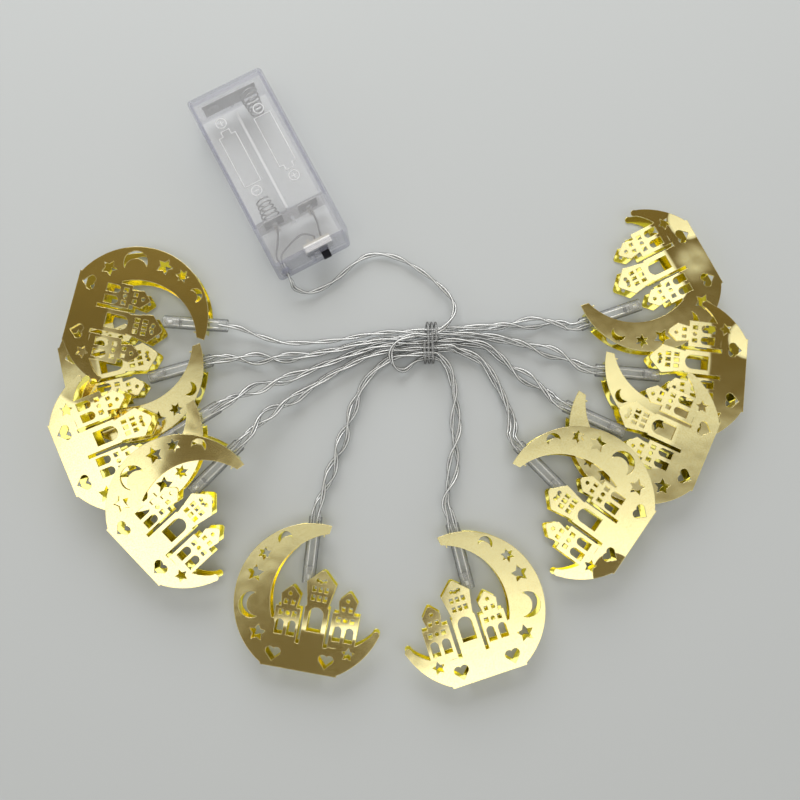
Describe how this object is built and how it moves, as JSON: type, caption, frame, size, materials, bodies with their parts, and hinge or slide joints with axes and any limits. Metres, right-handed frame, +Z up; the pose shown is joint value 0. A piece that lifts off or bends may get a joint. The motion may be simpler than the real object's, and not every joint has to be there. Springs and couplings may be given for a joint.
{
  "type": "led string lights",
  "caption": "Battery string of gilt crescent-and-castle lamps on clear twisted wire, tied in a bundle, with a clear sliding-cover battery case and a slide switch.",
  "frame": {"origin": "middle of the battery case's bottom face", "axes": "+Y along the case, away from its switch end; +Z up from the surface that everything lies on"},
  "size_m": [0.2831, 0.2755, 0.022],
  "materials": {
    "clear_case": "clear moulded plastic",
    "switch_metal": "bright plated strip",
    "switch_board": "brown laminate",
    "knob": "black moulded plastic",
    "contact_metal": "plated spring wire and strip",
    "wire": "clear-coated silver wire",
    "clear_cord": "clear soft plastic over silver strands",
    "gilt_sheet": "polished gilt sheet",
    "clear_sleeve": "clear tube",
    "light": "clear lens, unlit"
  },
  "bodies": {
    "string": {"case_body": "clear_case", "switch_cap": "clear_case", "switch_frame": "switch_metal", "switch_board": "switch_board", "hookup_wires": "wire", "cord_grommet": "clear_cord", "bundle_tie": "clear_cord", "link_plate": "contact_metal", "link_spring": "contact_metal", "negative_plate": "contact_metal", "negative_spring": "contact_metal", "positive_plate": "contact_metal", "lead_cord": "clear_cord", "link_cord_1": "clear_cord", "link_cord_2": "clear_cord", "link_cord_3": "clear_cord", "link_cord_4": "clear_cord", "link_cord_5": "clear_cord", "link_cord_6": "clear_cord", "link_cord_7": "clear_cord", "link_cord_8": "clear_cord", "link_cord_9": "clear_cord", "lamp_shell_1": "gilt_sheet", "lamp_shell_2": "gilt_sheet", "lamp_shell_3": "gilt_sheet", "lamp_shell_4": "gilt_sheet", "lamp_shell_5": "gilt_sheet", "lamp_shell_6": "gilt_sheet", "lamp_shell_7": "gilt_sheet", "lamp_shell_8": "gilt_sheet", "lamp_shell_9": "gilt_sheet", "lamp_shell_10": "gilt_sheet", "lamp_sleeve_1": "clear_sleeve", "lamp_sleeve_2": "clear_sleeve", "lamp_sleeve_3": "clear_sleeve", "lamp_sleeve_4": "clear_sleeve", "lamp_sleeve_5": "clear_sleeve", "lamp_sleeve_6": "clear_sleeve", "lamp_sleeve_7": "clear_sleeve", "lamp_sleeve_8": "clear_sleeve", "lamp_sleeve_9": "clear_sleeve", "lamp_sleeve_10": "clear_sleeve", "lamp_light_1": "light", "lamp_light_2": "light", "lamp_light_3": "light", "lamp_light_4": "light", "lamp_light_5": "light", "lamp_light_6": "light", "lamp_light_7": "light", "lamp_light_8": "light", "lamp_light_9": "light", "lamp_light_10": "light"},
    "cover": {"case_cover": "clear_case"},
    "knob": {"switch_knob": "knob"}
  },
  "joints": [
    {"name": "cover_slide", "type": "slide", "parent": "string", "child": "cover", "axis": [0, 1, 0], "range_m": [0, 0.061]},
    {"name": "switch_slide", "type": "slide", "parent": "string", "child": "knob", "axis": [1, 0, 0], "range_m": [-0.003, 0]}
  ]
}
